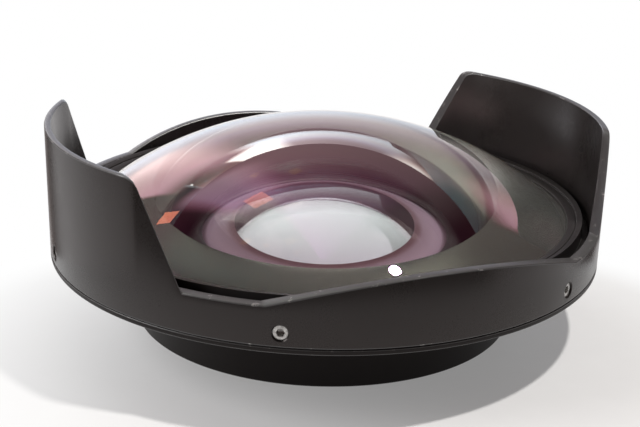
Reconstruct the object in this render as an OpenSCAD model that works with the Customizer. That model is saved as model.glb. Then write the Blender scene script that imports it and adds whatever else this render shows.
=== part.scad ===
// Fisheye converter lens with a petal hood, standing on its rear rim.
// Origin: centre of the rear rim. +Z runs along the optical axis towards the dome, tall petals at +X and -X.

/* [Hood] */
// Outside diameter of the hood and of the barrel's flange
hood_d = 125; // [118:0.5:140]
// Wall of the hood where it grips the barrel
hood_wall = 2.5; // [2:0.1:4]
// Wall of the hood at the top of the tall petals
hood_lip_wall = 1.4; // [1:0.1:2]
// Height of the plain bore that fits over the barrel
hood_bore_h = 6.6; // [5:0.1:8]
// Height of the valleys between the petals, from the hood's lower edge
valley_h = 8.2; // [7:0.1:12]
// Rise of the low petals above the valleys
low_petal_rise = 5.9; // [3:0.1:10]
// Width of the low petals across the valleys
low_petal_w = 67.3; // [50:0.1:80]
// Height of the tall petals, from the hood's lower edge
tall_petal_h = 28.6; // [22:0.1:36]
// Distance from the axis to the foot of a tall petal's side
tall_foot_x = 46.4; // [43:0.1:50]
// Distance from the axis to the top of a tall petal's side
tall_top_x = 52.9; // [50.5:0.1:56]
// Corner radius at the top of the tall petals
tall_corner_r = 2; // [0.5:0.1:4]

/* [Hood set screws] */
// Number of set screws round the hood
set_screw_count = 6; // [6]
// Thread diameter of a set screw
set_screw_d = 3; // [2:0.1:4]
// Length of a set screw
set_screw_l = 2.7; // [2:0.1:4]
// Length of the coned point
set_screw_point = 0.6; // [0.3:0.1:1]
// Hexagon key size
set_screw_key = 1.5; // [0.9:0.1:1.8]
// Height of the screws above the hood's lower edge
set_screw_h = 2.9; // [2.5:0.1:4]
// Depth of the groove round the barrel for the points
set_groove_depth = 0.75; // [0.5:0.05:1]

/* [Barrel] */
// Height of the flange's underside above the rear rim
base_h = 16.2; // [15.5:0.1:22]
// Thickness of the flange's edge
flange_t = 1.1; // [0.8:0.1:3]
// Wall of the rim between the hood and the retaining ring
rim_wall = 1.55; // [1.3:0.05:3]
// Width of the coned shoulder under the flange
shoulder_w = 10; // [4:0.5:14]
// Height of the coned shoulder
shoulder_h = 4.6; // [2:0.1:6]
// Wall of the rear skirt
skirt_wall = 1.6; // [1.2:0.1:3]
// Chamfer on the turned edges
edge_chamfer = 0.35; // [0.1:0.05:0.5]

/* [Front element] */
// Radius of curvature of the dome
dome_radius = 87.5; // [76:0.5:110]
// Edge thickness
front_edge_t = 5.4; // [4.5:0.1:8]
// Radius of curvature of the bowl behind it
bowl_radius = 44.8; // [40:0.1:60]
// Diameter of the bowl's rim
bowl_d = 67.8; // [56:0.1:76]
// Thickness of the gasket under the glass
gasket_t = 0.5; // [0.2:0.1:1]
// Width of the gasket
gasket_w = 6.5; // [3:0.5:10]

/* [Front retaining ring] */
// How far the ring's lip reaches over the glass
ring_lip = 1.8; // [1.6:0.1:3]
// Width of the ring's thread land outside the glass
ring_land = 1.35; // [1:0.05:2]
// Thickness of the lip's inner edge
ring_lip_t = 0.4; // [0.3:0.05:0.8]
// Rise of the bevelled face from the lip to the outer edge
ring_bevel_h = 1.1; // [0.5:0.1:2]
// Length of the ring's thread
ring_thread_l = 2.8; // [2:0.1:4]
// Thickness of the sealing ring
seal_d = 0.8; // [0.5:0.1:1]

/* [Second element] */
// Diameter of the glass
second_d = 63; // [56:0.5:64]
// Edge thickness
second_edge_t = 2.1; // [1.5:0.1:3]
// Radius of curvature of the front
second_front_radius = 70; // [50:1:100]
// Radius of curvature of the bowl behind it
second_bowl_radius = 34; // [30:0.5:50]
// Diameter of that bowl's rim
second_bowl_d = 41; // [34:0.5:46]
// How far its retaining ring reaches over the glass
second_lip = 2.1; // [1:0.1:3]
// Thickness of the retaining ring above the glass
second_lip_t = 0.7; // [0.4:0.1:1.5]

/* [Rear element] */
// Diameter of the glass
rear_d = 55; // [48:0.5:56]
// Edge thickness
rear_edge_t = 1.6; // [1:0.1:2.5]
// Radius of curvature of the front
rear_front_radius = 160; // [110:1:300]
// Thickness of its retaining ring
rear_ring_t = 1.1; // [0.8:0.1:1.5]
// How far its retaining ring reaches over the glass
rear_lip = 1.7; // [1:0.1:3]
// Width of the spanner slots in its retaining ring
spanner_slot_w = 1.6; // [1:0.1:2.5]
// Depth of those slots
spanner_slot_depth = 0.5; // [0.3:0.1:0.7]

/* [Optics cell] */
// Wall of the cell round the second element
cell_wall = 4.35; // [3.6:0.05:5]
// Width of the stop ring between the two glasses
stop_w = 1.5; // [1:0.1:3]
// Thickness of the stop ring
stop_t = 1.2; // [0.8:0.1:2]
// Width of the thread lands for the two retaining rings
cell_land = 1; // [0.8:0.1:1.5]
// Wall of the cell's rear snout outside the rear ring
snout_wall = 3.8; // [2:0.1:4]
// Thickness of the shim in front of the cell
shim_t = 0.3; // [0.1:0.1:0.6]
// Width of the barrel's lip in front of the cell
shelf_lip = 1.3; // [0.8:0.1:2]

/* [Rear mount] */
// Nominal diameter of the rear filter thread
thread_d = 82; // [77:1:95]
// Pitch of the filter thread
thread_pitch = 0.75; // [0.75:0.25:1]
// Depth of the filter thread
thread_depth = 4.2; // [3:0.1:6]
// Wall of the mount ring outside the thread
mount_ring_wall = 1.35; // [1:0.05:2]
// Thickness of the mount ring's flange
mount_flange_t = 1.8; // [1.4:0.1:3]
// How far the mount ring sits inside the rear rim
mount_recess = 0.4; // [0.2:0.1:1]
// Number of screws that hold the mount ring
mount_screw_count = 4; // [3:1:6]
// Thread diameter of those screws
mount_screw_d = 1.6; // [1.4:0.1:2]
// Head diameter of those screws
mount_screw_head_d = 3; // [2.6:0.1:3.4]
// Wall between the cell's bore and those screws
mount_screw_wall = 2.15; // [1:0.05:2.2]
// Length of those screws
mount_screw_l = 5; // [4:0.5:6]

/* [Fits] */
// Radial clearance of turning and threaded fits
turn_fit = 0.05; // [0.02:0.01:0.1]
// Clearance between glass and metal
glass_fit = 0.05; // [0.03:0.01:0.1]
// Gap under the hood's lower edge
hood_gap = 0.1; // [0.05:0.05:0.3]
// Clearance between a set screw's point and its groove
point_gap = 0.2; // [0.1:0.05:0.3]

/* [Hidden] */
$fn = 128;
lens_fn = 360;
cut = 1;

// Radii from the hood inwards to the front glass
hood_r = hood_d / 2;
hood_bore_r = hood_r - hood_wall;
spigot_r = hood_bore_r - turn_fit;
ring_bore_r = spigot_r - rim_wall;
ring_r = ring_bore_r - turn_fit;
glass_bore_r = ring_bore_r - ring_land;
glass_r = glass_bore_r - glass_fit;
ring_lip_r = glass_r - ring_lip;
bowl_r = bowl_d / 2;

// Radii from the rear thread and the cell outwards to the skirt
thread_r = (thread_d - 1.0825 * thread_pitch) / 2;
second_r = second_d / 2;
second_bowl_r = second_bowl_d / 2;
second_lip_r = second_r - second_lip;
second_bore_r = second_r + glass_fit;
second_ring_bore_r = second_bore_r + cell_land;
cell_r = second_bore_r + cell_wall;
cell_bore_r = cell_r + turn_fit;
shelf_open_r = cell_bore_r - shelf_lip;
rear_r = rear_d / 2;
rear_lip_r = rear_r - rear_lip;
rear_bore_r = rear_r + glass_fit;
rear_ring_bore_r = rear_bore_r + cell_land;
snout_r = rear_ring_bore_r + snout_wall;
stop_r = rear_r - stop_w;
mount_screw_r = cell_bore_r + mount_screw_wall + mount_screw_d / 2;
mount_screw_head_edge = 0.15;
mount_screw_reach = mount_screw_r + mount_screw_head_d / 2 + mount_screw_head_edge;
mount_ring_r = max(thread_r + mount_ring_wall, mount_screw_reach);
skirt_bore_r = mount_ring_r + turn_fit;
skirt_r = skirt_bore_r + skirt_wall;

// Height of a spherical face above its own centre, at a distance from the axis
function face_h(radius, r) = sqrt(radius * radius - r * r);

// Heights from the rear rim up to the second element
thread_top_z = mount_recess + thread_depth;
mount_top_z = thread_top_z + mount_flange_t;
mount_screw_spare = 0.6;
snout_gap = 0.15;
snout_z = thread_top_z + snout_gap;
rear_ring_inset = 0.1;
rear_ring_z = snout_z + rear_ring_inset;
rear_flat_z = rear_ring_z + rear_ring_t;
rear_centre_z = rear_flat_z + rear_edge_t - face_h(rear_front_radius, rear_r);
stop_z = rear_centre_z + face_h(rear_front_radius, stop_r) + glass_fit;
lens_gap = 0.3;
rear_face_at_bowl_z = rear_centre_z + face_h(rear_front_radius, second_bowl_r);
second_flat_z = max(stop_z + stop_t, rear_face_at_bowl_z + lens_gap);
second_edge_z = second_flat_z + second_edge_t;
second_centre_z = second_edge_z - face_h(second_front_radius, second_r);
second_lip_z = second_centre_z + face_h(second_front_radius, second_lip_r) + glass_fit;
cell_top_z = second_lip_z + second_lip_t + glass_fit;
shelf_z = cell_top_z + shim_t;

// Heights from the flange up to the front glass and the hood
seat_z = base_h + flange_t;
front_flat_z = seat_z + gasket_t;
front_edge_z = front_flat_z + front_edge_t;
dome_centre_z = front_edge_z - face_h(dome_radius, glass_r);
rim_rise = 0.2;
rim_z = front_edge_z + rim_rise;
ring_lip_gap = 0.1;
ring_lip_z = dome_centre_z + face_h(dome_radius, ring_lip_r) + ring_lip_gap;
ring_bottom_z = rim_z - ring_thread_l;
seal_shift = 0.1;
seal_r = (glass_r + ring_lip_r) / 2 + seal_shift;
seal_out = dome_radius + seal_d / 2 + glass_fit;
seal_z = dome_centre_z + face_h(seal_out, seal_r);
seal_top_z = seal_z + seal_d / 2 + glass_fit;
seal_side = seal_d / 2 + glass_fit;
hood_z = seat_z + hood_gap;
set_screw_z = hood_z + set_screw_h;
groove_r = spigot_r - set_groove_depth;
set_tip_r = groove_r + point_gap;

hood_black = [0.13, 0.13, 0.135];
barrel_black = [0.1, 0.1, 0.105];
cell_black = [0.06, 0.06, 0.065];
steel = [0.68, 0.68, 0.67];
dome_tint = [0.62, 0.5, 0.58, 0.45];
glass_tint = [0.7, 0.72, 0.78, 0.4];
seal_black = [0.05, 0.05, 0.05];
shim_brass = [0.72, 0.58, 0.3];

// Places its children evenly round the axis, at a distance from it, facing outwards along X
module around(count, r, first = 0) {
    for (i = [0 : count - 1])
        rotate([0, 0, first + i * 360 / count])
            translate([r, 0, 0])
                children();
}

// A washer-like ring that lies flat
module flat_ring(inner_r, outer_r, bottom_z, thickness) {
    translate([0, 0, bottom_z])
        rotate_extrude()
            translate([inner_r, 0])
                square([outer_r - inner_r, thickness]);
}

// Extrudes a side view, drawn in X and Z, right through the hood along Y
module through_hood() {
    rotate([90, 0, 0])
        linear_extrude(height = 2 * (hood_r + cut), center = true)
            children();
}

// A tall petal in side view, with its rounded top corner
module tall_petal_outline() {
    side_angle = atan2(tall_petal_h - valley_h, tall_top_x - tall_foot_x);
    corner_x = tall_top_x + tall_corner_r * tan(side_angle / 2);
    corner_y = tall_petal_h - tall_corner_r;
    corner_steps = 8;
    corner_arc = [
        for (i = [0 : corner_steps])
            let (a = 90 + side_angle * (1 - i / corner_steps))
                [corner_x + tall_corner_r * cos(a), corner_y + tall_corner_r * sin(a)]
    ];
    reach = hood_r + cut;
    polygon(concat(
        [[tall_foot_x, valley_h - cut], [tall_foot_x, valley_h]],
        corner_arc,
        [[reach, tall_petal_h], [reach, valley_h - cut]]
    ));
}

// Everything under the petals' edge: the band below the valleys, the low petals and the tall petals
module petal_space() {
    reach = hood_r + cut;
    low_petal_radius = (pow(low_petal_w / 2, 2) + pow(low_petal_rise, 2)) / (2 * low_petal_rise);
    through_hood()
        translate([-reach, -cut])
            square([2 * reach, valley_h + cut]);
    intersection() {
        through_hood()
            translate([0, valley_h + low_petal_rise - low_petal_radius])
                circle(low_petal_radius);
        through_hood()
            translate([-low_petal_w, 0])
                square([2 * low_petal_w, tall_petal_h]);
    }
    through_hood()
        tall_petal_outline();
    through_hood()
        mirror([1, 0])
            tall_petal_outline();
}

// Turned wall of the hood: plain bore below, thinning to the petal lip above
module hood_wall_ring() {
    rotate_extrude()
        polygon([
            [hood_bore_r, 0],
            [hood_r - edge_chamfer / 2, 0],
            [hood_r, edge_chamfer / 2],
            [hood_r, tall_petal_h],
            [hood_r - hood_lip_wall, tall_petal_h],
            [hood_bore_r, hood_bore_h]
        ]);
}

module petal_hood() {
    color(hood_black)
        translate([0, 0, hood_z])
            difference() {
                intersection() {
                    hood_wall_ring();
                    petal_space();
                }
                translate([0, 0, set_screw_h])
                    around(set_screw_count, hood_bore_r - cut)
                        rotate([0, 90, 0])
                            cylinder(d = set_screw_d + 2 * turn_fit, h = hood_wall + 2 * cut);
            }
}

// A grub screw that runs outwards from its coned point, with a hexagon socket in its outer end
module hood_set_screw(index) {
    socket_depth = set_screw_l / 2;
    color(steel)
        rotate([0, 0, index * 360 / set_screw_count])
            translate([set_tip_r, 0, set_screw_z])
                rotate([0, 90, 0])
                    difference() {
                        union() {
                            cylinder(d1 = set_screw_d - set_screw_point, d2 = set_screw_d, h = set_screw_point);
                            translate([0, 0, set_screw_point])
                                cylinder(d = set_screw_d, h = set_screw_l - set_screw_point);
                        }
                        translate([0, 0, set_screw_l - socket_depth])
                            cylinder(d = set_screw_key / cos(30), h = socket_depth + cut, $fn = 6);
                    }
}

module barrel() {
    screw_hole_depth = mount_screw_l - mount_flange_t + mount_screw_spare;
    color(barrel_black)
        difference() {
            rotate_extrude()
                polygon([
                    [skirt_bore_r, 0],
                    [skirt_r - edge_chamfer, 0],
                    [skirt_r, edge_chamfer],
                    [skirt_r, base_h - shoulder_h],
                    [skirt_r + shoulder_w, base_h],
                    [hood_r - edge_chamfer, base_h],
                    [hood_r, base_h + edge_chamfer],
                    [hood_r, seat_z],
                    [spigot_r, seat_z],
                    [spigot_r, rim_z],
                    [ring_bore_r, rim_z],
                    [ring_bore_r, ring_bottom_z - turn_fit],
                    [glass_bore_r, ring_bottom_z - turn_fit],
                    [glass_bore_r, seat_z],
                    [shelf_open_r, seat_z],
                    [shelf_open_r, shelf_z],
                    [cell_bore_r, shelf_z],
                    [cell_bore_r, mount_top_z],
                    [skirt_bore_r, mount_top_z]
                ]);
            translate([0, 0, set_screw_z])
                rotate_extrude()
                    translate([groove_r, -set_screw_d / 2 - point_gap])
                        square([set_groove_depth + cut, set_screw_d + 2 * point_gap]);
            translate([0, 0, mount_top_z - cut])
                around(mount_screw_count, mount_screw_r, 45)
                    cylinder(d = mount_screw_d + 2 * turn_fit, h = screw_hole_depth + cut);
        }
}

// A lens blank with a domed front and a flat rear
module lens(edge_r, flat_z, front_centre_z, front_radius) {
    intersection() {
        translate([0, 0, flat_z])
            cylinder(r = edge_r, h = front_radius);
        translate([0, 0, front_centre_z])
            sphere(front_radius, $fn = lens_fn);
    }
}

// The round hollow of a bowl whose rim lies on a flat
module bowl(rim_r, flat_z, radius) {
    translate([0, 0, flat_z - face_h(radius, rim_r)])
        sphere(radius, $fn = lens_fn);
}

module front_element() {
    color(dome_tint)
        difference() {
            lens(glass_r, front_flat_z, dome_centre_z, dome_radius);
            bowl(bowl_r, front_flat_z, bowl_radius);
        }
}

module front_seat_gasket() {
    color(seal_black)
        flat_ring(glass_r - gasket_w, glass_r, seat_z, gasket_t);
}

module front_seal() {
    color(seal_black)
        translate([0, 0, seal_z])
            rotate_extrude()
                translate([seal_r, 0])
                    circle(d = seal_d, $fn = 48);
}

module front_retaining_ring() {
    color(barrel_black)
        rotate_extrude()
            polygon([
                [ring_r, ring_bottom_z],
                [ring_r, ring_lip_z + ring_lip_t + ring_bevel_h - edge_chamfer / 2],
                [ring_r - edge_chamfer / 2, ring_lip_z + ring_lip_t + ring_bevel_h],
                [ring_lip_r, ring_lip_z + ring_lip_t],
                [ring_lip_r, ring_lip_z],
                [seal_r - seal_side, ring_lip_z],
                [seal_r - seal_side, seal_top_z],
                [seal_r + seal_side, seal_top_z],
                [glass_r + glass_fit, front_edge_z],
                [glass_r + glass_fit, ring_bottom_z]
            ]);
}

module optics_cell() {
    color(cell_black)
        rotate_extrude()
            polygon([
                [rear_ring_bore_r, snout_z],
                [snout_r, snout_z],
                [snout_r, mount_top_z],
                [cell_r, mount_top_z],
                [cell_r, cell_top_z],
                [second_ring_bore_r, cell_top_z],
                [second_ring_bore_r, second_edge_z],
                [second_bore_r, second_edge_z],
                [second_bore_r, second_flat_z],
                [stop_r, second_flat_z],
                [stop_r, stop_z],
                [rear_bore_r, stop_z],
                [rear_bore_r, rear_flat_z + glass_fit],
                [rear_ring_bore_r, rear_flat_z + glass_fit]
            ]);
}

module cell_shim() {
    color(shim_brass)
        flat_ring(shelf_open_r, cell_r, cell_top_z, shim_t);
}

module second_element() {
    color(glass_tint)
        difference() {
            lens(second_r, second_flat_z, second_centre_z, second_front_radius);
            bowl(second_bowl_r, second_flat_z, second_bowl_radius);
        }
}

module second_retaining_ring() {
    outer_r = second_ring_bore_r - turn_fit;
    color(cell_black)
        rotate_extrude()
            polygon([
                [outer_r, second_edge_z + glass_fit],
                [outer_r, cell_top_z],
                [second_lip_r + second_lip_t, cell_top_z],
                [second_lip_r, second_lip_z + second_lip_t / 2],
                [second_lip_r, second_lip_z],
                [second_r + glass_fit, second_lip_z],
                [second_r + glass_fit, second_edge_z + glass_fit]
            ]);
}

module rear_element() {
    color(glass_tint)
        lens(rear_r, rear_flat_z, rear_centre_z, rear_front_radius);
}

// Thin screw-in ring with two slots across its rear face for a spanner
module rear_retaining_ring() {
    color(cell_black)
        difference() {
            flat_ring(rear_lip_r, rear_ring_bore_r - turn_fit, rear_ring_z, rear_ring_t);
            around(2, rear_lip_r - cut)
                translate([0, -spanner_slot_w / 2, rear_ring_z - cut])
                    cube([rear_lip + cell_land + 2 * cut, spanner_slot_w, spanner_slot_depth + cut]);
        }
}

// A countersunk mount screw, or its hole, with the head's flat at the lower end
module mount_screw_shape(grow) {
    head_h = (mount_screw_head_d - mount_screw_d) / 2;
    cylinder(d1 = mount_screw_head_d + 2 * grow, d2 = mount_screw_d + 2 * grow, h = head_h);
    cylinder(d = mount_screw_d + 2 * grow, h = mount_screw_l);
}

module rear_mount_ring() {
    color(barrel_black)
        difference() {
            rotate_extrude()
                polygon([
                    [thread_r, mount_recess],
                    [mount_ring_r, mount_recess],
                    [mount_ring_r, mount_top_z],
                    [snout_r + turn_fit, mount_top_z],
                    [snout_r + turn_fit, thread_top_z],
                    [thread_r, thread_top_z]
                ]);
            translate([0, 0, thread_top_z])
                around(mount_screw_count, mount_screw_r, 45) {
                    mount_screw_shape(turn_fit);
                    translate([0, 0, -thread_depth - cut])
                        cylinder(d = mount_screw_head_d + 2 * turn_fit, h = thread_depth + cut);
                }
        }
}

module mount_ring_screws() {
    slot_w = 0.4;
    slot_depth = 0.35;
    color(steel)
        translate([0, 0, thread_top_z])
            around(mount_screw_count, mount_screw_r, 45)
                difference() {
                    mount_screw_shape(0);
                    translate([-mount_screw_head_d, -slot_w / 2, -cut])
                        cube([2 * mount_screw_head_d, slot_w, slot_depth + cut]);
                }
}

petal_hood();
hood_set_screw(0);  // hood_set_screw_1
hood_set_screw(1);  // hood_set_screw_2
hood_set_screw(2);  // hood_set_screw_3
hood_set_screw(3);  // hood_set_screw_4
hood_set_screw(4);  // hood_set_screw_5
hood_set_screw(5);  // hood_set_screw_6
barrel();
front_element();
front_seat_gasket();
front_seal();
front_retaining_ring();
optics_cell();
cell_shim();
second_element();
second_retaining_ring();
rear_element();
rear_retaining_ring();
rear_mount_ring();
mount_ring_screws();
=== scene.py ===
"""A screw-on fisheye converter lens with a petal hood, standing on its rear rim on a white table."""
import math

import bpy
from mathutils import Matrix, Quaternion, Vector


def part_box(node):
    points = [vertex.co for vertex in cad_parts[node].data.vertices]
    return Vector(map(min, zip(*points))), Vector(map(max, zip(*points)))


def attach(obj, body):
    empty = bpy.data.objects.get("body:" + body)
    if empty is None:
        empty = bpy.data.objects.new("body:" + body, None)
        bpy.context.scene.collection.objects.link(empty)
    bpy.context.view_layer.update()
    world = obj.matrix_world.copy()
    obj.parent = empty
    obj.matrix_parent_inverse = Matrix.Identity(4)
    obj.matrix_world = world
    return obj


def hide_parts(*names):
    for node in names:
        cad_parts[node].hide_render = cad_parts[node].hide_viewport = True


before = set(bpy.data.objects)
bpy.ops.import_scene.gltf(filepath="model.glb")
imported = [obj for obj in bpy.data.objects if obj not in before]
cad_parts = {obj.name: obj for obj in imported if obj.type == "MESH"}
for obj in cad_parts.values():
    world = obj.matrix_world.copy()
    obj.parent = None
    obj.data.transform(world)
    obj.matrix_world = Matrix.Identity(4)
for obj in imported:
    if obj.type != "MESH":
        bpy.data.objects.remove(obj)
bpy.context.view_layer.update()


# Camera
# A long lens looks down on the dome from the left of the front valley, so the left petal shows its outside
# and the right petal its inside.
scene = bpy.context.scene
mm = 0.001
camera_place = Vector((-102.20, -241.34, 113.74)) * mm
camera_aim = Vector((0.3645, 0.8710, -0.3295))
camera_roll = math.radians(1.42)
camera_data = bpy.data.cameras.new("camera")
camera_data.sensor_width = 36
camera_data.lens = 67.16
camera = bpy.data.objects.new("camera", camera_data)
scene.collection.objects.link(camera)
camera.location = camera_place
camera.rotation_mode = "QUATERNION"
camera.rotation_quaternion = camera_aim.to_track_quat("-Z", "Y") @ Quaternion((0, 0, 1), camera_roll)
scene.camera = camera


# White table
# A round, matt white table top whose rim melts into a white background. It glows with painted light: least
# just in front of the lens, as painted shade, and under the lens as a painted pool of light from the
# glasses, more so at the back.
back = Vector((camera_aim.x, camera_aim.y, 0)).normalized()
table_centre = Vector((-18.6, -58.4, 0)) * mm
table_radius = 108 * mm
table_fade = 9 * mm
table_drop = 0.02 * mm
table_sides = 128
painted_glow_level = 0.25
painted_shade_middle = Vector((6.9, -35.4, 0)) * mm
painted_shade_r = 42 * mm
painted_shade_end = 120 * mm
painted_pool_level = 0.42
painted_pool_slope = 1.5
painted_pool_r = 42 * mm
painted_pool_edge = 2 * mm


class Value:
    """A shader socket in Python expressions: each operator adds the Math node that works it out."""

    def __init__(self, socket):
        self.socket = socket

    def node(self, kind, settings=None, sockets=None, output=0):
        """Adds a node to the same tree: its settings first, then the values or links of its sockets."""
        tree = self.socket.id_data
        made = tree.nodes.new("ShaderNode" + kind)
        for name, setting in (settings or {}).items():
            if name == "stops":
                ramp = made.color_ramp
                while len(ramp.elements) < len(setting):
                    ramp.elements.new(1)
                for element, (place, colour) in zip(ramp.elements, setting):
                    element.position = place
                    element.color = (*colour, 1)
            else:
                setattr(made, name, setting)
        for name, source in (sockets or {}).items():
            if isinstance(source, Value):
                tree.links.new(source.socket, made.inputs[name])
            else:
                made.inputs[name].default_value = source
        return Value(made.outputs[output])

    def math(self, operation, *others):
        return self.node("Math", {"operation": operation}, dict(enumerate((self, *others))))

    def __add__(self, other):
        return self.math("ADD", other)

    def __sub__(self, other):
        return self.math("SUBTRACT", other)

    def __rsub__(self, other):
        return self.node("Math", {"operation": "SUBTRACT"}, {0: other, 1: self})

    def __mul__(self, other):
        return self.math("MULTIPLY", other)

    def __truediv__(self, other):
        return self.math("DIVIDE", other)

    __radd__ = __add__
    __rmul__ = __mul__

    def step(self, low, high, smooth=True):
        """Runs from 0 at low to 1 at high."""
        settings = {"interpolation_type": "SMOOTHSTEP" if smooth else "LINEAR"}
        return self.node("MapRange", settings, {"Value": self, "From Min": low, "From Max": high})

    def mix(self, first, second):
        """A colour that runs from first at 0 to second at 1."""
        colours = [c if isinstance(c, Value) else (*c, 1) for c in (first, second)]
        sockets = {"Factor": self, 6: colours[0], 7: colours[1]}
        return self.node("Mix", {"data_type": "RGBA"}, sockets, output=2)

    def noise(self, size, detail=2.0, roughness=0.5):
        """Noise on these coordinates, with features of this size."""
        sockets = {"Vector": self, "Scale": 1 / size, "Detail": detail, "Roughness": roughness}
        return self.node("TexNoise", None, sockets)

    def axis(self, number):
        return self.node("SeparateXYZ", None, {0: self}, output=number)

    def moved(self, offset):
        """Coordinates shifted by an offset."""
        return self.node("VectorMath", {"operation": "ADD"}, {0: self, 1: offset})

    def along(self, direction):
        """How far coordinates lie along a direction."""
        return self.node("VectorMath", {"operation": "DOT_PRODUCT"}, {0: self, 1: direction}, output="Value")

    def off_axis(self):
        """Distance from the optical axis, of Object coordinates."""
        flat = self.node("VectorMath", {"operation": "MULTIPLY"}, {0: self, 1: (1, 1, 0)})
        return flat.node("VectorMath", {"operation": "LENGTH"}, {0: flat}, output="Value")


def new_finish(name, **constants):
    """A new material: its main shader with these constant sockets, and its Object coordinates."""
    material = bpy.data.materials.new(name)
    material.use_nodes = True
    shader = material.node_tree.nodes["Principled BSDF"]
    for socket, constant in constants.items():
        shader.inputs[socket.replace("_", " ")].default_value = constant
    places = Value(material.node_tree.nodes.new("ShaderNodeTexCoord").outputs["Object"])
    return material, shader, places


def feed(shader, socket, value):
    shader.id_data.links.new(value.socket, shader.inputs[socket])


def lay_over(material, factor, cover):
    """Lays another shader over what the material shows, by a factor."""
    tree = material.node_tree
    surface = tree.nodes["Material Output"].inputs["Surface"]
    mixed = tree.nodes.new("ShaderNodeMixShader")
    tree.links.new(factor.socket, mixed.inputs[0])
    tree.links.new(surface.links[0].from_socket, mixed.inputs[1])
    tree.links.new(cover.outputs[0], mixed.inputs[2])
    tree.links.new(mixed.outputs[0], surface)


bpy.ops.object.select_all(action="DESELECT")
bpy.ops.mesh.primitive_circle_add(
    vertices=table_sides, radius=table_radius + table_fade, fill_type="NGON",
    location=table_centre - Vector((0, 0, table_drop)))
table = bpy.context.object
table.name = "table"
table_white, shader, places = new_finish("table_white", Roughness=0.55, Specular_IOR_Level=0.3)
mottle = places.noise(6 * mm, detail=3)
feed(shader, "Base Color", mottle.mix((0.80, 0.80, 0.805), (0.84, 0.84, 0.845)))
# Painted light and shade: the top glows, least in front of the lens as painted shade, and as a painted pool
# of light under it.
painted_glow = shader.id_data.nodes.new("ShaderNodeEmission")
rim = places.off_axis().step(table_radius - table_fade, table_radius + table_fade)
from_lens = places.moved(table_centre)
painted_pool_part = 1 - from_lens.off_axis().step(painted_pool_r - painted_pool_edge, painted_pool_r)
painted_pool_shine = painted_pool_level + painted_pool_slope * from_lens.along(back) / painted_pool_r
painted_shade_part = 1 - places.moved(table_centre - painted_shade_middle).off_axis().step(painted_shade_r, painted_shade_end)
painted_open_shine = 1 - (1 - painted_glow_level) * (1 - rim) * painted_shade_part
shine = painted_open_shine + (painted_pool_shine - painted_open_shine) * painted_pool_part
lay_over(table_white, shine, painted_glow)
table.data.materials.append(table_white)


# Light
# A cool white sweep stands behind the lens on a white ground, between two windows and below a skylight. The
# room is dim and warm, lighter on the left. A ceiling lamp casts the shadow and shows as a dot on the dome,
# a softbox lights the left petal, and two small warm lamps glint in the glass.
right = Vector((back.y, -back.x, 0))
upward = Vector((0, 0, 1))
sweep_middle = (back + 0.04 * right).normalized()
room_level = 0.07
room_tint = (1.0, 0.70, 0.64)
ground_level = 1.1
ground_tint = (1.0, 0.98, 0.98)
ground_spread = 1.2
sweep_level = 1.15
sweep_tint = (0.95, 1.04, 1.17)
upper_tint = (0.91, 1.09, 1.55)
top_tint = (1.15, 1.70, 1.60)
left_gain = 1.4
left_room = 0.15
left_window_level = 1.5
right_window_level = 1.1
window_tint = (1.02, 0.98, 1.0)
skylight_level = 1.0
skylight_tint = (0.85, 1.15, 1.0)
world = bpy.data.worlds.new("surroundings")
world.use_nodes = True
scene.world = world
backdrop = world.node_tree.nodes["Background"]
heading = Value(world.node_tree.nodes.new("ShaderNodeTexCoord").outputs["Generated"])


def band(value, rise, fall):
    """1 between two soft edges: it rises over the first pair of values and falls over the second."""
    return value.step(*rise) * (1 - value.step(*fall))


level = heading.along(upward)
flat_length = (1 - level * level).math("MAXIMUM", 0.001).math("SQRT")
side = heading.along(right) / flat_length
ahead = heading.along(back) / flat_length
far_half = ahead.step(0.0, 0.1)
above = level.step(-0.15, 0.0)
dark_left = (1 - side.step(-0.40, -0.30)) * ahead.step(0.66, 0.74)
dark_right = side.step(0.45, 0.55) * ahead.step(0.52, 0.60)
white_ground = (1 - above) * (1 - (dark_left + dark_right))
turn = heading.along(sweep_middle) / flat_length + ground_spread * white_ground
sweep = turn.step(0.83, 0.93) * (1 - 0.4 * level.step(0.05, 0.35) - 0.33 * level.step(0.24, 0.46))
left_window = band(side, (-0.61, -0.58), (-0.42, -0.22)) * level.step(0.08, 0.20)
right_window = band(side, (0.40, 0.66), (0.69, 0.74)) * level.step(0.15, 0.40)
window_top = far_half * (1 - level.step(0.46, 0.62))
windows = window_top * (left_window_level * left_window + right_window_level * right_window)
skylight_pane = band(side, (-0.72, -0.60), (-0.50, -0.20)) * band(level, (0.62, 0.68), (0.80, 0.92))
skylight = skylight_level * far_half * skylight_pane
left_wall = (1 - side.step(-0.9, -0.45)) * band(level, (-0.1, 0.0), (0.6, 0.8))
room = room_level + left_room * left_wall
sweep_shine = ground_level + above * (sweep_level - ground_level - left_gain * side)
brightness = room + sweep * sweep_shine + windows + skylight
seen = Value(world.node_tree.nodes.new("ShaderNodeLightPath").outputs["Is Camera Ray"])
middle_tint = level.step(0.18, 0.36).mix(sweep_tint, upper_tint)
sky_tint = level.step(0.50, 0.65).mix(middle_tint, top_tint)
white_tint = above.mix(ground_tint, sky_tint)
wall_tint = windows.math("MINIMUM", 1).mix(sweep.mix(room_tint, white_tint), window_tint)
light_tint = skylight.math("MINIMUM", 1).mix(wall_tint, skylight_tint)
feed(backdrop, "Color", seen.mix(light_tint, (1, 1, 1)))
feed(backdrop, "Strength", brightness + seen * (1 - brightness))


def lamp(name, direction, distance, size, power, colour=(1, 1, 1), shape="DISK"):
    """A lamp that shines at the lens from this direction."""
    data = bpy.data.lights.new(name, "AREA")
    data.shape = shape
    data.size = size
    data.energy = power
    data.color = colour
    made = bpy.data.objects.new(name, data)
    scene.collection.objects.link(made)
    made.location = direction.normalized() * distance
    made.rotation_mode = "QUATERNION"
    made.rotation_quaternion = (-direction).to_track_quat("-Z", "Y")


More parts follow.
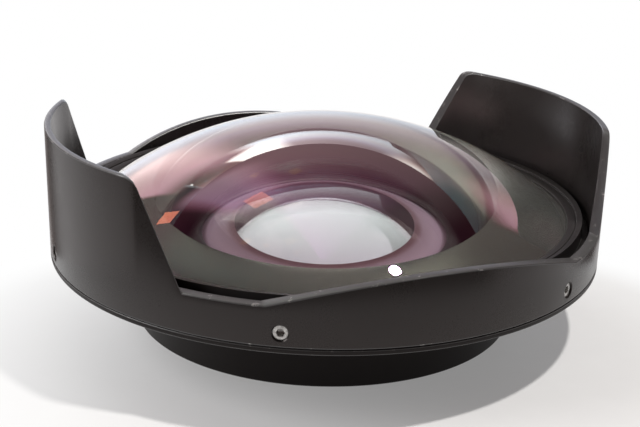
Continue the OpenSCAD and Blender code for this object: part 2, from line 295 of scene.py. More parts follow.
lamp("ceiling_lamp", Vector((0.286, -0.142, 0.948)),
     distance=1.2, size=0.068, power=10.5, colour=(1, 0.97, 0.93))
lamp("left_softbox", -0.85 * right - 0.15 * back + 0.5 * upward, distance=0.8, size=0.5, power=4.0)
lamp("warm_window", -0.26 * right + 0.41 * back + 0.87 * upward,
     distance=1.0, size=0.09, power=0.036, colour=(1, 0.74, 0.16), shape="SQUARE")
lamp("warm_corner", -0.57 * right + 0.47 * back + 0.67 * upward,
     distance=1.0, size=0.07, power=0.035, colour=(1, 0.66, 0.22), shape="SQUARE")
scene.view_settings.view_transform = "Standard"
scene.cycles.caustics_refractive = False
scene.cycles.caustics_reflective = False
scene.cycles.sample_clamp_indirect = 2.0


# Barrel
# The main housing, turned from aluminium bar and black anodised. Its flange carries the hood and its seat
# the dome, and the lens stands on the rim of its rear skirt.
barrel_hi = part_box("barrel")[1]
hood_lo, hood_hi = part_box("petal_hood")
ring_lo, ring_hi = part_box("front_retaining_ring")
gasket_lo, gasket_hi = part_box("front_seat_gasket")
cell_lo, cell_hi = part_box("optics_cell")
shim_lo, shim_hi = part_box("cell_shim")
mount_lo, mount_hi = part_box("rear_mount_ring")
fit = 0.05 * mm
hood_wall = 2.5 * mm
skirt_wall = 1.6 * mm
shoulder_w = 10 * mm
shoulder_h = 4.6 * mm
flange_t = 1.1 * mm
shelf_lip = 1.3 * mm
groove_depth = 0.75 * mm
groove_half = 1.7 * mm
groove_z = hood_lo.z + 2.9 * mm
rounding_angle = math.radians(25)
smooth_angle = math.radians(28)


def turned(name, profile, steps=256):
    """A turned piece: its profile is drawn by extruding a point from corner to corner, then spun."""
    bpy.ops.object.select_all(action="DESELECT")
    bpy.ops.mesh.primitive_plane_add(size=1 * mm)
    piece = bpy.context.object
    piece.name = piece.data.name = name
    bpy.ops.object.mode_set(mode="EDIT")
    bpy.ops.mesh.select_all(action="SELECT")
    bpy.ops.mesh.merge(type="CENTER")
    bpy.ops.transform.translate(value=(profile[0][0], 0, profile[0][1]))
    for (r, z), (next_r, next_z) in zip(profile, profile[1:]):
        bpy.ops.mesh.extrude_vertices_move(TRANSFORM_OT_translate={"value": (next_r - r, 0, next_z - z)})
    bpy.ops.mesh.select_all(action="SELECT")
    bpy.ops.mesh.spin(steps=steps, angle=math.tau, center=(0, 0, 0), axis=(0, 0, 1))
    bpy.ops.mesh.select_all(action="SELECT")
    bpy.ops.mesh.remove_doubles(threshold=0.001 * mm)
    bpy.ops.mesh.normals_make_consistent(inside=False)
    bpy.ops.object.mode_set(mode="OBJECT")
    return piece


def soften(piece, width, segments=3, edge_wear_and_highlight_slot=-1):
    """Rounds the sharp edges of a piece, with the rounding in its own material slot if one is given."""
    bpy.context.view_layer.objects.active = piece
    rounding = piece.modifiers.new("rounding", "BEVEL")
    rounding.width = width
    rounding.segments = segments
    rounding.limit_method = "ANGLE"
    rounding.angle_limit = rounding_angle
    rounding.material = edge_wear_and_highlight_slot
    bpy.ops.object.modifier_apply(modifier="rounding")
    smooth(piece)


def smooth(piece):
    bpy.ops.object.select_all(action="DESELECT")
    piece.select_set(True)
    bpy.context.view_layer.objects.active = piece
    bpy.ops.object.shade_smooth_by_angle(angle=smooth_angle)


def anodised(name, dark, light, gloss, shine=0.35, grain=0.16 * mm):
    """Black anodised aluminium: a fine blasted grain, cloudy gloss and faint handling marks."""
    material, shader, places = new_finish(name, Specular_IOR_Level=shine, Specular_Tint=(1, 0.9, 0.88, 1))
    cloud = places.noise(14 * mm, detail=4, roughness=0.6)
    pores = places.noise(grain, detail=2)
    feed(shader, "Base Color", (cloud * 0.6 + pores * 0.4).mix(dark, light))
    feed(shader, "Roughness", gloss + 0.16 * (cloud - 0.5) + 0.10 * (pores - 0.5))
    bump = pores.node("Bump", None, {"Height": pores, "Strength": 0.12, "Distance": 0.01 * mm})
    feed(shader, "Normal", bump)
    return material


def worn_edge_with_painted_highlight(name, base, bare=(0.42, 0.41, 0.40)):
    """A rubbed edge of anodised aluminium: bare metal in small chips, and a lighter black that is a painted
    edge highlight.
    """
    material, shader, places = new_finish(name, Specular_IOR_Level=0.6)
    rub = places.noise(2.2 * mm, detail=5, roughness=0.7)
    chips = rub.step(0.60, 0.68)
    feed(shader, "Base Color", chips.mix(base, bare))
    feed(shader, "Metallic", chips)
    feed(shader, "Roughness", 0.34 + 0.12 * (rub - 0.5))
    return material


skirt_r = mount_hi.x + fit + skirt_wall
spigot_r = hood_hi.x - hood_wall - fit
glass_bore = gasket_hi.x + fit
ring_bore = ring_hi.x + fit
cell_bore = cell_hi.x + fit
seat_z = gasket_lo.z
flange_z = seat_z - flange_t
barrel = turned("barrel_housing", [
    (skirt_r - skirt_wall, 0),
    (skirt_r, 0),
    (skirt_r, flange_z - shoulder_h),
    (skirt_r + shoulder_w, flange_z),
    (hood_hi.x, flange_z),
    (hood_hi.x, seat_z),
    (spigot_r, seat_z),
    (spigot_r, groove_z - groove_half),
    (spigot_r - groove_depth, groove_z - groove_half),
    (spigot_r - groove_depth, groove_z + groove_half),
    (spigot_r, groove_z + groove_half),
    (spigot_r, barrel_hi.z),
    (ring_bore, barrel_hi.z),
    (ring_bore, ring_lo.z - fit),
    (glass_bore, ring_lo.z - fit),
    (glass_bore, seat_z),
    (cell_bore - shelf_lip, seat_z),
    (cell_bore - shelf_lip, shim_hi.z),
    (cell_bore, shim_hi.z),
    (cell_bore, mount_hi.z),
    (skirt_r - skirt_wall, mount_hi.z),
    (skirt_r - skirt_wall, 0),
])
barrel_black = anodised("barrel_black", (0.007, 0.006, 0.006), (0.012, 0.0105, 0.010), 0.42, shine=0.2)
barrel_edge_wear_and_highlight = worn_edge_with_painted_highlight("barrel_edge_wear_and_highlight", (0.035, 0.033, 0.033), (0.20, 0.195, 0.19))
barrel.data.materials.append(barrel_black)
barrel.data.materials.append(barrel_edge_wear_and_highlight)
soften(barrel, 0.22 * mm, edge_wear_and_highlight_slot=1)
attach(barrel, "barrel_group")
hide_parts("barrel")


# Rear mount ring
# A black anodised ring inside the skirt with an 82 mm filter thread, by which the lens screws onto a camera
# lens. Its flange is held by four countersunk screws.
thread_r = 40.594 * mm
thread_major_r = 41 * mm
thread_pitch = 0.75 * mm
first_crest = 0.35 * thread_pitch
thread_top = 4.6 * mm
snout_bore = 32.4 * mm
screw_hole_r = 38.9 * mm
screw_count = 4
first_screw_angle = math.radians(45)
head_r = 1.5 * mm
shank_r = 0.8 * mm
screw_l = 5 * mm
sink_over = 1 * mm


def boolean_cut(piece, cutter):
    """Cuts one shape out of a piece and removes the cutter."""
    bpy.context.view_layer.objects.active = piece
    cut = piece.modifiers.new("cut", "BOOLEAN")
    cut.operation = "DIFFERENCE"
    cut.solver = "EXACT"
    cut.object = cutter
    bpy.ops.object.modifier_apply(modifier="cut")
    bpy.data.objects.remove(cutter)


def placed_copy(name, piece, place):
    """A copy of a piece, with its own mesh, at its place."""
    copy = piece.copy()
    copy.data = piece.data.copy()
    copy.data.transform(place)
    copy.name = copy.data.name = name
    scene.collection.objects.link(copy)
    return copy


def copies_round(name, piece, count, place_of):
    """Joins copies of a piece into one piece with a new name."""
    made = [placed_copy(name, piece, place_of(i)) for i in range(count)]
    bpy.data.objects.remove(piece)
    bpy.ops.object.select_all(action="DESELECT")
    for copy in made:
        copy.select_set(True)
    bpy.context.view_layer.objects.active = made[0]
    bpy.ops.object.join()
    return made[0]


def mount_screw_place(i):
    turn = Matrix.Rotation(first_screw_angle + i * math.tau / screw_count, 4, "Z")
    return turn @ Matrix.Translation((screw_hole_r, 0, thread_top))


turns = int((thread_top - mount_lo.z) / thread_pitch)
threads = []
for i in range(turns):
    crest_z = mount_lo.z + first_crest + i * thread_pitch
    threads += [(thread_r, crest_z), (thread_major_r, crest_z + 0.5 * thread_pitch)]
mount_ring = turned("rear_thread_ring", [
    (thread_major_r, mount_lo.z),
    (mount_hi.x, mount_lo.z),
    (mount_hi.x, mount_hi.z),
    (snout_bore, mount_hi.z),
    (snout_bore, thread_top),
    (thread_major_r, thread_top),
    *reversed(threads),
    (thread_major_r, mount_lo.z),
])
ring_black = anodised("ring_black", (0.016, 0.015, 0.015), (0.026, 0.024, 0.024), 0.36)
ring_edge_wear_and_highlight = worn_edge_with_painted_highlight("ring_edge_wear_and_highlight", (0.05, 0.048, 0.047))
mount_ring.data.materials.append(ring_black)
mount_ring.data.materials.append(ring_edge_wear_and_highlight)
sink = turned("sink", [
    (0, -sink_over), (head_r + fit, -sink_over), (head_r + fit, 0), (shank_r + fit, head_r - shank_r),
    (shank_r + fit, screw_l), (0, screw_l),
], steps=32)
boolean_cut(mount_ring, copies_round("sinks", sink, screw_count, mount_screw_place))
smooth(mount_ring)
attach(mount_ring, "barrel_group")
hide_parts("rear_mount_ring")


# Mount ring screws
# Four slotted countersunk steel screws, flush with the ring's flange.
slot_w = 0.4 * mm
slot_depth = 0.35 * mm


def worn_steel(name, dark, light):
    """Plated steel, dulled and scratched by keys and drivers."""
    material, shader, places = new_finish(name, Metallic=1.0)
    rub = places.noise(0.5 * mm, detail=5, roughness=0.7)
    feed(shader, "Base Color", rub.step(0.35, 0.65).mix(dark, light))
    feed(shader, "Roughness", 0.30 + 0.35 * rub)
    bump = rub.node("Bump", None, {"Height": rub, "Strength": 0.4, "Distance": 0.02 * mm})
    feed(shader, "Normal", bump)
    return material


mount_screw = turned("mount_screw", [
    (0, 0), (head_r, 0), (shank_r, head_r - shank_r), (shank_r, screw_l), (0, screw_l),
], steps=48)
soften(mount_screw, 0.06 * mm, segments=2)
bpy.ops.object.select_all(action="DESELECT")
bpy.ops.mesh.primitive_cube_add(size=1, scale=(4 * head_r, slot_w, 2 * slot_depth))
slot = bpy.context.object
bpy.ops.object.transform_apply(location=False, rotation=False, scale=True)
boolean_cut(mount_screw, slot)
smooth(mount_screw)
mount_screws = copies_round("mount_screw_set", mount_screw, screw_count, mount_screw_place)
screw_steel = worn_steel("screw_steel", (0.30, 0.29, 0.28), (0.62, 0.61, 0.60))
mount_screws.data.materials.append(screw_steel)
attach(mount_screws, "barrel_group")
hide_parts("mount_ring_screws")


# Optics cell
# A matt black turned cell that slides into the barrel from behind, up to the shim, and is held there by the
# rear mount ring. It holds the rear and second glasses, each under its own ring, with a stop between them.
second_lo, second_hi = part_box("second_element")
second_ring_lo, second_ring_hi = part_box("second_retaining_ring")
rear_lo, rear_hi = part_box("rear_element")
rear_ring_lo, rear_ring_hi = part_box("rear_retaining_ring")
second_edge_t = 2.1 * mm
stop_w = 1.5 * mm
stop_t = 1.2 * mm
seat_gap = 0.02 * mm
snout_r = snout_bore - fit
stop_top = second_lo.z - seat_gap
cell = turned("lens_cell", [
    (rear_ring_hi.x + fit, cell_lo.z),
    (snout_r, cell_lo.z),
    (snout_r, mount_hi.z),
    (cell_hi.x, mount_hi.z),
    (cell_hi.x, cell_hi.z),
    (second_ring_hi.x + fit, cell_hi.z),
    (second_ring_hi.x + fit, second_lo.z + second_edge_t),
    (second_hi.x + fit, second_lo.z + second_edge_t),
    (second_hi.x + fit, stop_top),
    (rear_hi.x - stop_w, stop_top),
    (rear_hi.x - stop_w, stop_top - stop_t),
    (rear_hi.x + fit, stop_top - stop_t),
    (rear_hi.x + fit, rear_ring_hi.z + fit),
    (rear_ring_hi.x + fit, rear_ring_hi.z + fit),
    (rear_ring_hi.x + fit, cell_lo.z),
])
cell_black = anodised("cell_black", (0.008, 0.0075, 0.0075), (0.014, 0.013, 0.013), 0.55)
cell.data.materials.append(cell_black)
soften(cell, 0.1 * mm, segments=2)
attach(cell, "barrel_group")
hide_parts("optics_cell")


# Cell shim
# A thin rolled brass ring between the cell and the barrel's shelf, which sets the spacing of the glasses.
# Its inner edge is blackened.
shim_inner = cell_bore - shelf_lip
shim_black = (0.01, 0.01, 0.01)
black_from = 0.1 * mm
black_to = 0.2 * mm
shim = turned("spacing_shim", [
    (shim_inner, shim_lo.z), (shim_hi.x, shim_lo.z), (shim_hi.x, shim_hi.z), (shim_inner, shim_hi.z),
    (shim_inner, shim_lo.z),
])
shim_brass, shader, places = new_finish("shim_brass", Metallic=1.0)
rolled = places.noise(1.5 * mm, detail=4)
inside_edge = 1 - places.off_axis().step(shim_inner + black_from, shim_inner + black_to)
brass = rolled.mix((0.48, 0.34, 0.13), (0.62, 0.46, 0.20))
feed(shader, "Base Color", inside_edge.mix(brass, shim_black))
feed(shader, "Roughness", 0.28 + 0.25 * rolled + 0.3 * inside_edge)
shim.data.materials.append(shim_brass)
soften(shim, 0.04 * mm, segments=1)
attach(shim, "barrel_group")
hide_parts("cell_shim")


# Rear element
# A weak positive lens of coated glass at the back of the cell, flat behind and slightly domed in front. Its
# ground edge is lacquered dark.
rear_radius = 160 * mm
rear_edge_t = 1.6 * mm
glass_index = 1.517
upright_tilt = 0.02
flat_tilt = 0.99999


def sphere_arc(centre_z, radius, from_r, to_r, steps):
    """Points of a spherical face from one distance from the axis to another."""
    start, end = math.asin(from_r / radius), math.asin(to_r / radius)
    angles = [start + (end - start) * i / steps for i in range(steps + 1)]
    return [(radius * math.sin(a), centre_z + radius * math.cos(a)) for a in angles]


def clear_glass(name, tint, **coating):
    """Polished optical glass with a coating. Lamps shine through it onto what is behind."""
    material, shader, places = new_finish(
        name, Roughness=0.0, IOR=glass_index, Transmission_Weight=1.0, **coating)
    haze = places.noise(9 * mm, detail=3)
    feed(shader, "Base Color", haze.mix(tint, tuple(0.985 * c for c in tint)))
    clear = material.node_tree.nodes.new("ShaderNodeBsdfTransparent")
    clear.inputs["Color"].default_value = (*tint, 1)
    lamp_ray = Value(material.node_tree.nodes.new("ShaderNodeLightPath").outputs["Is Shadow Ray"])
    lay_over(material, lamp_ray, clear)
    return material


def edge_lacquer(name, dark, light, **sheen):
    """Dark lacquer on a glass's ground edge and flat, whose soft sheen shows through the glass."""
    material, shader, places = new_finish(name, Roughness=0.26, IOR=4.5, **sheen)
    ground = places.noise(0.7 * mm, detail=4)
    feed(shader, "Base Color", ground.mix(dark, light))
    return material


def glass_faces(piece):
    """Puts the second material on a glass's edge and flat faces, and the third on the bowl under it."""
    for face in piece.data.polygons:
        if abs(face.normal.z) < upright_tilt or abs(face.normal.z) > flat_tilt:
            face.material_index = 1
        elif face.normal.z < 0:
            face.material_index = 2


rear_centre_z = rear_lo.z + rear_edge_t - math.sqrt(rear_radius ** 2 - rear_hi.x ** 2)
rear_glass = turned("rear_glass", [
    *sphere_arc(rear_centre_z, rear_radius, 0, rear_hi.x, 24),
    (rear_hi.x, rear_lo.z),
    (0, rear_lo.z),
], steps=160)
inner_tint = (0.968, 0.953, 0.982)
inner_coating = (0.28, 0.20, 0.235, 1)
inner_glass = clear_glass("inner_glass", inner_tint, Specular_Tint=inner_coating)
inner_lacquer = edge_lacquer("inner_lacquer", (0.012, 0.010, 0.010), (0.02, 0.018, 0.018))
rear_glass.data.materials.append(inner_glass)
rear_glass.data.materials.append(inner_lacquer)
for face in rear_glass.data.polygons:
    face.material_index = int(abs(face.normal.z) < upright_tilt)
smooth(rear_glass)
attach(rear_glass, "barrel_group")
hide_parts("rear_element")


# Rear retaining ring
# A thin black ring that screws into the cell behind the rear element, with two spanner slots across it.
rear_lip = 1.7 * mm
spanner_slot_w = 1.6 * mm
spanner_slot_depth = 0.5 * mm
rear_ring_bore = rear_hi.x - rear_lip
rear_ring = turned("rear_lock_ring", [
    (rear_ring_bore, rear_ring_lo.z), (rear_ring_hi.x, rear_ring_lo.z), (rear_ring_hi.x, rear_ring_hi.z),
    (rear_ring_bore, rear_ring_hi.z), (rear_ring_bore, rear_ring_lo.z),
])
bpy.ops.object.select_all(action="DESELECT")
bpy.ops.mesh.primitive_cube_add(
    size=1, location=(0, 0, rear_ring_lo.z),
    scale=(2.2 * rear_ring_hi.x, spanner_slot_w, 2 * spanner_slot_depth))
slot = bpy.context.object
bpy.ops.object.transform_apply(location=True, rotation=False, scale=True)
boolean_cut(rear_ring, slot)
rear_ring.data.materials.append(cell_black)
smooth(rear_ring)
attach(rear_ring, "barrel_group")
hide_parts("rear_retaining_ring")


# Second element
# A steep negative meniscus of coated glass behind the dome. Its flat is lacquered, so from the front it
# shows as a mauve band round the clear bowl. Where its face turns most light back, a painted brown
# reflection covers the bowl.
second_front_radius = 70 * mm
second_bowl_radius = 34 * mm
second_bowl_r = 20.5 * mm
second_band_start = 20 * mm
second_band_end = 32 * mm
second_band_ripple = 0.3 * mm
second_painted_reflection_start = 0.5
painted_reflection_brown = (0.06, 0.044, 0.047)


def painted_reflection_cover(material, colour):
    """A plain diffuse colour laid over a bowl as a painted reflection."""
    depth = material.node_tree.nodes.new("ShaderNodeBsdfDiffuse")
    depth.inputs["Color"].default_value = (*colour, 1)
    return depth


def turned_back(material):
    """The share of the light that a face of the glass turns back."""
    fresnel = material.node_tree.nodes.new("ShaderNodeFresnel")
    fresnel.inputs["IOR"].default_value = glass_index
    return Value(fresnel.outputs[0])


second_edge_z = second_lo.z + second_edge_t
second_centre_z = second_edge_z - math.sqrt(second_front_radius ** 2 - second_hi.x ** 2)
second_bowl_z = second_lo.z - math.sqrt(second_bowl_radius ** 2 - second_bowl_r ** 2)
second_glass = turned("second_glass", [
    *sphere_arc(second_centre_z, second_front_radius, 0, second_hi.x, 40),
    (second_hi.x, second_lo.z),
    *sphere_arc(second_bowl_z, second_bowl_radius, second_bowl_r, 0, 40),
], steps=192)
second_lacquer, shader, places = new_finish(
    "second_lacquer", Roughness=0.28, IOR=2.4, Specular_Tint=(1, 0.8, 0.92, 1))
ground = places.noise(0.7 * mm, detail=4)
ripple = second_band_ripple * (ground - 0.5)
across = (places.off_axis() + ripple).step(second_band_start, second_band_end, smooth=False)
feed(shader, "Base Color", across.node("ValToRGB", {"stops": [
    (0.0, (0.12, 0.065, 0.07)), (0.12, (0.16, 0.085, 0.09)), (0.22, (0.32, 0.22, 0.26)),
    (0.45, (0.42, 0.30, 0.36)), (0.6, (0.39, 0.28, 0.34)), (0.68, (0.05, 0.035, 0.035)),
    (1.0, (0.03, 0.02, 0.02)),
]}, {0: across}))
second_bowl = clear_glass("second_bowl", inner_tint, Specular_Tint=inner_coating)
# Painted reflection: brown laid over the bowl where it turns most light back.
painted_reflection_part = turned_back(second_bowl).step(second_painted_reflection_start, 1)
lay_over(second_bowl, painted_reflection_part, painted_reflection_cover(second_bowl, painted_reflection_brown))
second_glass.data.materials.append(inner_glass)
second_glass.data.materials.append(second_lacquer)
second_glass.data.materials.append(second_bowl)
glass_faces(second_glass)
smooth(second_glass)
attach(second_glass, "barrel_group")
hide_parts("second_element")


# Second retaining ring
# A black ring that screws into the front of the cell over the second element's edge.
second_lip = 2.1 * mm
second_lip_t = 0.7 * mm
lip_r = second_hi.x - second_lip
lip_z = second_centre_z + math.sqrt(second_front_radius ** 2 - lip_r ** 2) + fit
second_ring = turned("second_lock_ring", [
    (second_ring_hi.x, second_ring_lo.z),
    (second_ring_hi.x, second_ring_hi.z),
    (lip_r + second_lip_t, second_ring_hi.z),
    (lip_r, lip_z + second_lip_t / 2),
    (lip_r, lip_z),
    (second_hi.x + fit, lip_z),
    (second_hi.x + fit, second_ring_lo.z),
    (second_ring_hi.x, second_ring_lo.z),
])
second_ring.data.materials.append(cell_black)
soften(second_ring, 0.08 * mm, segments=2)
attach(second_ring, "barrel_group")
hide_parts("second_retaining_ring")


# Front seat gasket
# A flat rubber ring on the barrel's seat, under the rim of the dome.
gasket_w = 6.5 * mm
gasket_inner = gasket_hi.x - gasket_w
gasket_top = gasket_hi.z - seat_gap
gasket = turned("dome_gasket", [
    (gasket_inner, gasket_lo.z), (gasket_hi.x, gasket_lo.z), (gasket_hi.x, gasket_top),
    (gasket_inner, gasket_top), (gasket_inner, gasket_lo.z),
])
seal_rubber, shader, places = new_finish("seal_rubber", Specular_IOR_Level=0.3)
bloom = places.noise(3 * mm, detail=4)
feed(shader, "Base Color", bloom.mix((0.008, 0.008, 0.008), (0.018, 0.018, 0.018)))
feed(shader, "Roughness", 0.6 + 0.25 * bloom)
gasket.data.materials.append(seal_rubber)
soften(gasket, 0.06 * mm, segments=1)
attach(gasket, "barrel_group")
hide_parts("front_seat_gasket")


# Front element
# The dome, a thick negative meniscus of polished glass with a mauve coating. Its ground edge and flat have a
# dark lacquer, whose sheen shows through the dome as a grey-green band round the bowl. Where its face turns
# some of the light back, a painted brown reflection covers the bowl, and it turns to painted black shade
# near its rim.
front_lo, front_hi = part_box("front_element")
dome_radius = 87.5 * mm
front_edge_t = 5.4 * mm
bowl_radius = 44.8 * mm
bowl_r = 33.9 * mm
painted_reflection_rise = (0.07, 0.12)
painted_reflection_fall = (0.5, 0.9)
painted_shade_black = (0.004, 0.0025, 0.0025)
painted_shade_rim_z = 19 * mm
painted_shade_top_z = 26 * mm
front_edge_z = front_lo.z + front_edge_t
dome_centre_z = front_edge_z - math.sqrt(dome_radius ** 2 - front_hi.x ** 2)
bowl_centre_z = front_lo.z - math.sqrt(bowl_radius ** 2 - bowl_r ** 2)
front_glass = turned("dome_glass_element", [
    *sphere_arc(dome_centre_z, dome_radius, 0, front_hi.x, 72),
    (front_hi.x, front_lo.z),
    *sphere_arc(bowl_centre_z, bowl_radius, bowl_r, 0, 64),
])
dome_glass = clear_glass("dome_glass", (1.0, 0.955, 0.985), Thin_Film_Thickness=293, Thin_Film_IOR=1.92)
dome_lacquer = edge_lacquer("dome_lacquer", (0.010, 0.0098, 0.0088), (0.016, 0.0157, 0.014),
                            Specular_Tint=(0.97, 1, 0.94, 1))
front_glass.data.materials.append(dome_glass)
front_glass.data.materials.append(dome_lacquer)
bowl_glass = clear_glass("bowl_glass", inner_tint, Specular_Tint=inner_coating)
# Painted reflection and shade: brown where the bowl turns some light back, black near its rim.
painted_reflection_part = band(turned_back(bowl_glass), painted_reflection_rise, painted_reflection_fall)
lay_over(bowl_glass, painted_reflection_part, painted_reflection_cover(bowl_glass, painted_reflection_brown))
bowl_places = painted_reflection_part.node("TexCoord", output="Object")
painted_shade_near_rim = 1 - bowl_places.axis(2).step(painted_shade_rim_z, painted_shade_top_z)
lay_over(bowl_glass, painted_reflection_part * painted_shade_near_rim, painted_reflection_cover(bowl_glass, painted_shade_black))
front_glass.data.materials.append(bowl_glass)
glass_faces(front_glass)
smooth(front_glass)
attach(front_glass, "barrel_group")
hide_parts("front_element")


# Front seal
# A thin rubber cord ring squeezed between the dome and its retaining ring.
seal_lo, seal_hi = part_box("front_seal")
seal_radius = (seal_hi.z - seal_lo.z) / 2
seal_r = seal_hi.x - seal_radius
seal_z = seal_lo.z + seal_radius
seal_sides = 16
seal = turned("dome_seal", [
    (seal_r + seal_radius * math.cos(i * math.tau / seal_sides),
     seal_z + seal_radius * math.sin(i * math.tau / seal_sides)) for i in range(seal_sides + 1)
])
seal.data.materials.append(seal_rubber)
smooth(seal)
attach(seal, "barrel_group")
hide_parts("front_seal")


# Front retaining ring
# A black anodised ring that screws into the barrel's rim and holds the dome by a thin bevelled lip. A groove
# runs round the bevel.
ring_lip = 1.8 * mm
ring_lip_t = 0.4 * mm
ring_bevel_h = 1.1 * mm
ring_lip_r = front_hi.x - ring_lip
ring_lip_top = ring_hi.z - ring_bevel_h
ring_lip_z = ring_lip_top - ring_lip_t
ring_groove = 0.35 * mm
groove_start = 0.36
groove_end = 0.52
groove_side = 0.02
seal_room = seal_radius + fit


def bevel_point(share, depth):
    """A point this far down the ring's bevel, and this deep under it."""
    return ring_hi.x + share * (ring_lip_r - ring_hi.x), ring_hi.z - share * ring_bevel_h - depth


ring = turned("dome_ring", [
    (ring_hi.x, ring_lo.z),
    (ring_hi.x, ring_hi.z),
    bevel_point(groove_start, 0),
    bevel_point(groove_start + groove_side, ring_groove),
    bevel_point(groove_end - groove_side, ring_groove),
    bevel_point(groove_end, 0),
    (ring_lip_r, ring_lip_top),
    (ring_lip_r, ring_lip_z),
    (seal_r - seal_room, ring_lip_z),
    (seal_r - seal_room, seal_z + seal_room),
    (seal_r + seal_room, seal_z + seal_room),
    (front_hi.x + fit, front_edge_z),
    (front_hi.x + fit, ring_lo.z),
    (ring_hi.x, ring_lo.z),
])
ring.data.materials.append(ring_black)
ring.data.materials.append(ring_edge_wear_and_highlight)
soften(ring, 0.12 * mm, edge_wear_and_highlight_slot=1)
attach(ring, "barrel_group")
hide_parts("front_retaining_ring")


# Petal hood
# A thin-walled hood, turned from aluminium, milled to two tall and two low petals and satin black anodised.
# It slips over the barrel's spigot and is clamped by six set screws.
hood_r = hood_hi.x
hood_bore_r = hood_r - hood_wall
hood_lip_wall = 1.4 * mm
hood_bore_top = hood_lo.z + 6.6 * mm
valley_z = hood_lo.z + 8.2 * mm
low_petal_rise = 5.9 * mm
low_petal_half = 33.65 * mm
tall_foot_x = 46.4 * mm
tall_top_x = 52.9 * mm
tall_corner_r = 2 * mm
set_screw_z = groove_z
set_screw_count = 6
set_hole_r = 1.55 * mm
drill_in = 1 * mm
drill_out = 0.1 * mm
hole_mouth_w = 0.3 * mm
hole_mouth_depth = 0.2 * mm
low_petal_radius = (low_petal_half ** 2 + low_petal_rise ** 2) / (2 * low_petal_rise)
side_angle = math.atan2(hood_hi.z - valley_z, tall_top_x - tall_foot_x)
corner_x = tall_top_x + tall_corner_r * math.tan(side_angle / 2)
corner_foot_x = corner_x - tall_corner_r * math.sin(side_angle)
corner_bends = (0.4 * mm, 1 * mm)


def petal_edge(x):
    """Height of the petals' edge at a distance along the line through the tall petals."""
    x = abs(x)
    if x <= low_petal_half:
        return valley_z + low_petal_rise - low_petal_radius + math.sqrt(low_petal_radius ** 2 - x ** 2)
    if x <= tall_foot_x:
        return valley_z
    if x <= corner_foot_x:
        return valley_z + (x - tall_foot_x) * math.tan(side_angle)
    if x <= corner_x:
        return hood_hi.z - tall_corner_r + math.sqrt(max(tall_corner_r ** 2 - (corner_x - x) ** 2, 0))
    return hood_hi.z


def wall_inside(z):
    """Radius of the hood's inside at a height: a plain bore that widens towards the lip."""
    share = max(z - hood_bore_top, 0) / (hood_hi.z - hood_bore_top)
    return hood_bore_r + (hood_wall - hood_lip_wall) * share


bends = [corner_x, *(corner_x - b for b in corner_bends), corner_foot_x, tall_foot_x, low_petal_half]
quarter = [0, *sorted(math.acos(x / hood_r) for x in bends), math.pi / 2]
column_step = math.radians(0.6)
columns = []
for start, end in zip(quarter, quarter[1:]):
    count = max(1, round((end - start) / column_step))
    columns += [start + (end - start) * i / count for i in range(count)]
columns += [math.pi / 2] + [math.pi - a for a in reversed(columns[1:])]
columns += [a + math.pi for a in columns]


def lip_angle(angle):
    """Where the inner edge of the lip meets a column: straight across the wall, as the cutter ran."""
    x = hood_r * math.cos(angle)
    from_x = math.acos(abs(math.cos(angle)))
    top_end = math.acos(corner_x / hood_r)
    if from_x >= top_end:
        across = math.acos(abs(x) / wall_inside(petal_edge(x)))
    else:
        across = math.acos(corner_x / wall_inside(hood_hi.z)) * from_x / top_end
    return angle + (across - from_x) * (1 if math.sin(2 * angle) >= 0 else -1)


def hood_point(ring_number, angle):
    """A point of the hood's wall: the rings go up the outside, across the lip and down the inside."""
    edge = petal_edge(hood_r * math.cos(angle))
    inner = lip_angle(angle)
    turn, radius, z = [
        (angle, hood_r, hood_lo.z),
        (angle, hood_r, hood_bore_top),
        (angle, hood_r, edge),
        (inner, wall_inside(edge), edge),
        (inner, hood_bore_r, hood_bore_top),
        (inner, hood_bore_r, hood_lo.z),
    ][ring_number]
    return radius * math.cos(turn), radius * math.sin(turn), z


hood_rings = 6
lip_rings = {2, 3}
bpy.ops.object.select_all(action="DESELECT")
bpy.ops.mesh.primitive_circle_add(vertices=len(columns), radius=hood_r)
hood = bpy.context.object
hood.name = hood.data.name = "hood_shell"
bpy.ops.object.mode_set(mode="EDIT")
bpy.ops.mesh.select_all(action="SELECT")
for _ in range(hood_rings - 1):
    bpy.ops.mesh.extrude_edges_move(TRANSFORM_OT_translate={"value": (0, 0, 1 * mm)})
bpy.ops.mesh.select_all(action="DESELECT")
bpy.ops.mesh.select_non_manifold()
bpy.ops.mesh.bridge_edge_loops()
bpy.ops.object.mode_set(mode="OBJECT")
ring_of = [round(v.co.z / mm) for v in hood.data.vertices]
# The lip faces take the edge finish, whose lighter black is a painted highlight.
for face in hood.data.polygons:
    face.material_index = int({ring_of[i] for i in face.vertices} == lip_rings)
for v in hood.data.vertices:
    column = round(math.atan2(v.co.y, v.co.x) / math.tau * len(columns))
    v.co = hood_point(ring_of[v.index], columns[column])
bpy.ops.object.mode_set(mode="EDIT")
bpy.ops.mesh.select_all(action="SELECT")
bpy.ops.mesh.normals_make_consistent(inside=False)
bpy.ops.object.mode_set(mode="OBJECT")
hood_black = anodised("hood_black", (0.013, 0.0112, 0.0107), (0.020, 0.0177, 0.017), 0.29)
hood_edge_wear_and_highlight = worn_edge_with_painted_highlight("hood_edge_wear_and_highlight", (0.06, 0.0585, 0.0595))
hood.data.materials.append(hood_black)
hood.data.materials.append(hood_edge_wear_and_highlight)
soften(hood, 0.3 * mm, edge_wear_and_highlight_slot=1)


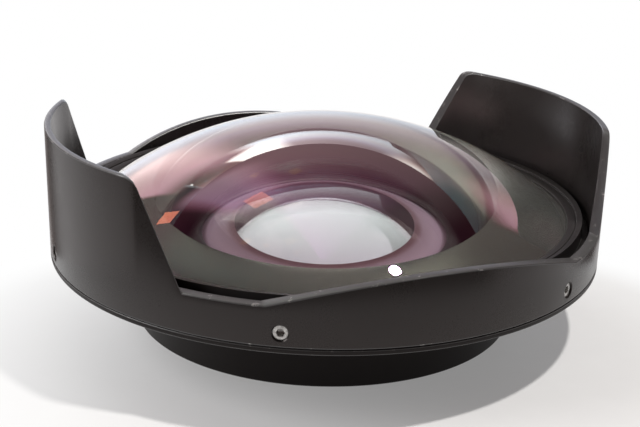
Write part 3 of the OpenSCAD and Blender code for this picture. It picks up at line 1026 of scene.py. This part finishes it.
def set_screw_place(i):
    turn = Matrix.Rotation(i * math.tau / set_screw_count, 4, "Z")
    lay_down = Matrix.Rotation(math.pi / 2, 4, "Y")
    return turn @ Matrix.Translation((0, 0, set_screw_z)) @ lay_down


drill = turned("drill", [
    (0, hood_bore_r - drill_in), (set_hole_r, hood_bore_r - drill_in),
    (set_hole_r, hood_r - hole_mouth_depth), (set_hole_r + hole_mouth_w, hood_r + drill_out),
    (0, hood_r + drill_out),
], steps=40)
boolean_cut(hood, copies_round("drills", drill, set_screw_count, set_screw_place))
smooth(hood)
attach(hood, "hood")
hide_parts("petal_hood")


# Hood set screws
# Six steel grub screws with hexagon sockets. Each rides in the hood's wall and its coned point sits in the
# barrel's groove.
set_screw_r = 1.5 * mm
set_screw_l = 2.7 * mm
set_point = 0.6 * mm
set_key = 1.5 * mm
set_pitch = 0.5 * mm
set_thread_depth = 0.2 * mm
set_tip_gap = 0.2 * mm
set_tip = spigot_r - groove_depth + set_tip_gap
set_end = set_tip + set_screw_l
ridges = []
ridge_z = set_tip + set_point
while ridge_z + set_pitch < set_end:
    ridges += [(set_screw_r, ridge_z), (set_screw_r - set_thread_depth, ridge_z + set_pitch / 2)]
    ridge_z += set_pitch
set_screw = turned("set_screw", [
    (0, set_tip), (set_screw_r - set_point / 2, set_tip), *ridges, (set_screw_r, ridge_z),
    (set_screw_r, set_end), (0, set_end),
], steps=48)
bpy.ops.object.select_all(action="DESELECT")
bpy.ops.mesh.primitive_cylinder_add(
    vertices=6, radius=set_key / 2 / math.cos(math.pi / 6), depth=set_screw_l, location=(0, 0, set_end))
socket = bpy.context.object
bpy.ops.object.transform_apply(location=True, rotation=False, scale=False)
boolean_cut(set_screw, socket)
soften(set_screw, 0.07 * mm, segments=2)
set_steel = worn_steel("set_steel", (0.34, 0.33, 0.32), (0.70, 0.69, 0.67))
for i in range(set_screw_count):
    screw = placed_copy("grub_screw_%d" % (i + 1), set_screw, set_screw_place(i))
    screw.data.materials.append(set_steel)
    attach(screw, "set_screw_%d" % (i + 1))
    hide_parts("hood_set_screw_%d" % (i + 1))
bpy.data.objects.remove(set_screw)
